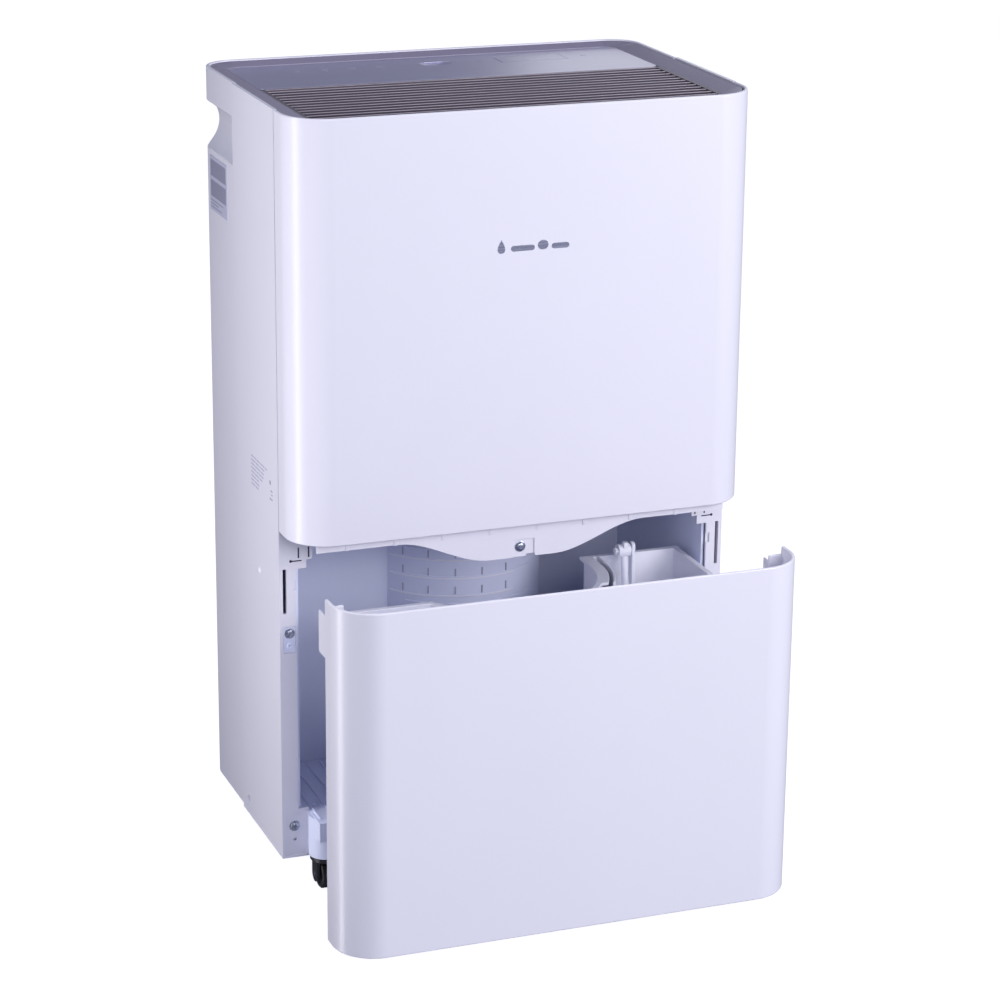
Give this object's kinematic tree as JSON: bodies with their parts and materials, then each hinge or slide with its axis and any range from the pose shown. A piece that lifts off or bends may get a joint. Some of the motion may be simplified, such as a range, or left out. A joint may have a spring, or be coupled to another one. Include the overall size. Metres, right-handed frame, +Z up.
{
  "type": "dehumidifier",
  "caption": "Free-standing compressor dehumidifier on casters, with a top air outlet and a front-loading water bucket shown partly pulled out.",
  "frame": {"origin": "on the floor, under the middle of the whole object with its bucket partly out", "axes": "+X right, +Y to the rear, +Z up; the front panel faces -Y"},
  "size_m": [0.39, 0.388, 0.657],
  "materials": {
    "shell_white": "satin moulded plastic",
    "inner_white": "matt moulded plastic",
    "tub_plastic": "satin moulded plastic",
    "frame_grey": "satin metallic paint",
    "slat_bronze": "satin dark bronze paint",
    "panel_silver": "gloss metallic",
    "window_smoke": "gloss dark tint",
    "black_plastic": "matt",
    "black_enamel": "semi-gloss enamel",
    "steel": "zinc plated",
    "copper": "drawn copper",
    "fin_aluminium": "bare fins",
    "board_green": "lacquered board",
    "mesh_grey": "open nylon mesh",
    "rubber": "matt",
    "wheel_black": "matt",
    "label_grey": "printed foil"
  },
  "bodies": {
    "cabinet": {"front_panel": "shell_white", "left_side_panel": "shell_white", "right_side_panel": "shell_white", "rear_cover": "shell_white", "top_frame": "frame_grey", "outlet_louvre": "slat_bronze", "control_panel": "panel_silver", "display_window": "window_smoke", "control_board": "board_green", "fascia": "shell_white", "bay_liner": "inner_white", "base_pan": "inner_white", "drip_tray": "inner_white", "evaporator": "fin_aluminium", "condenser": "fin_aluminium", "fan_scroll": "inner_white", "fan_motor": "steel", "compressor": "black_enamel", "accumulator": "black_enamel", "compressor_feet": "rubber", "refrigerant_pipes": "copper", "filter_drier": "copper", "run_capacitor": "fin_aluminium", "electrical_box": "inner_white", "main_board": "board_green", "humidity_sensor": "board_green", "bucket_switch": "black_plastic", "drain_outlet": "inner_white", "cord_gland": "rubber", "rating_label": "label_grey", "case_screws": "steel"},
    "bucket": {"bucket_panel": "shell_white", "bucket_tub": "tub_plastic"},
    "float": {"float_lever": "tub_plastic", "float_block": "tub_plastic"},
    "button": {"power_button": "panel_silver"},
    "blower": {"blower_wheel": "black_plastic", "motor_shaft": "steel"},
    "filter": {"intake_grille": "shell_white", "filter_frame": "inner_white", "filter_mesh": "mesh_grey"},
    "caster_fl": {"caster_fork_fl": "black_plastic", "caster_axle_fl": "steel"},
    "wheel_fl": {"caster_wheel_fl": "wheel_black"},
    "caster_fr": {"caster_fork_fr": "black_plastic", "caster_axle_fr": "steel"},
    "wheel_fr": {"caster_wheel_fr": "wheel_black"},
    "caster_rl": {"caster_fork_rl": "black_plastic", "caster_axle_rl": "steel"},
    "wheel_rl": {"caster_wheel_rl": "wheel_black"},
    "caster_rr": {"caster_fork_rr": "black_plastic", "caster_axle_rr": "steel"},
    "wheel_rr": {"caster_wheel_rr": "wheel_black"}
  },
  "joints": [
    {"name": "bucket_slide", "type": "slide", "parent": "cabinet", "child": "bucket", "axis": [0, -1, 0], "range_m": [-0.118, 0.13]},
    {"name": "float_hinge", "type": "hinge", "parent": "bucket", "child": "float", "pos_m": [0.115, -0.004, 0.258], "axis": [1, 0, 0], "range_deg": [-15, 0]},
    {"name": "power_press", "type": "slide", "parent": "cabinet", "child": "button", "axis": [0, 0, 1], "range_m": [-0.001, 0], "stiffness_N_per_m": 600, "springref_m": 0.0002},
    {"name": "blower_spin", "type": "hinge", "parent": "cabinet", "child": "blower", "pos_m": [0, -0.016, 0.5045], "axis": [0, 1, 0], "continuous": true},
    {"name": "filter_slide", "type": "slide", "parent": "cabinet", "child": "filter", "axis": [0, 1, 0], "range_m": [0, 0.06]},
    {"name": "caster_fl_swivel", "type": "hinge", "parent": "cabinet", "child": "caster_fl", "pos_m": [-0.16, -0.034, 0.03], "axis": [0, 0, 1], "continuous": true},
    {"name": "wheel_fl_spin", "type": "hinge", "parent": "caster_fl", "child": "wheel_fl", "pos_m": [-0.16, -0.028, 0.013], "axis": [1, 0, 0], "continuous": true},
    {"name": "caster_fr_swivel", "type": "hinge", "parent": "cabinet", "child": "caster_fr", "pos_m": [0.16, -0.034, 0.03], "axis": [0, 0, 1], "continuous": true},
    {"name": "wheel_fr_spin", "type": "hinge", "parent": "caster_fr", "child": "wheel_fr", "pos_m": [0.16, -0.028, 0.013], "axis": [1, 0, 0], "continuous": true},
    {"name": "caster_rl_swivel", "type": "hinge", "parent": "cabinet", "child": "caster_rl", "pos_m": [-0.16, 0.156, 0.03], "axis": [0, 0, 1], "continuous": true},
    {"name": "wheel_rl_spin", "type": "hinge", "parent": "caster_rl", "child": "wheel_rl", "pos_m": [-0.16, 0.162, 0.013], "axis": [1, 0, 0], "continuous": true},
    {"name": "caster_rr_swivel", "type": "hinge", "parent": "cabinet", "child": "caster_rr", "pos_m": [0.16, 0.156, 0.03], "axis": [0, 0, 1], "continuous": true},
    {"name": "wheel_rr_spin", "type": "hinge", "parent": "caster_rr", "child": "wheel_rr", "pos_m": [0.16, 0.162, 0.013], "axis": [1, 0, 0], "continuous": true}
  ]
}
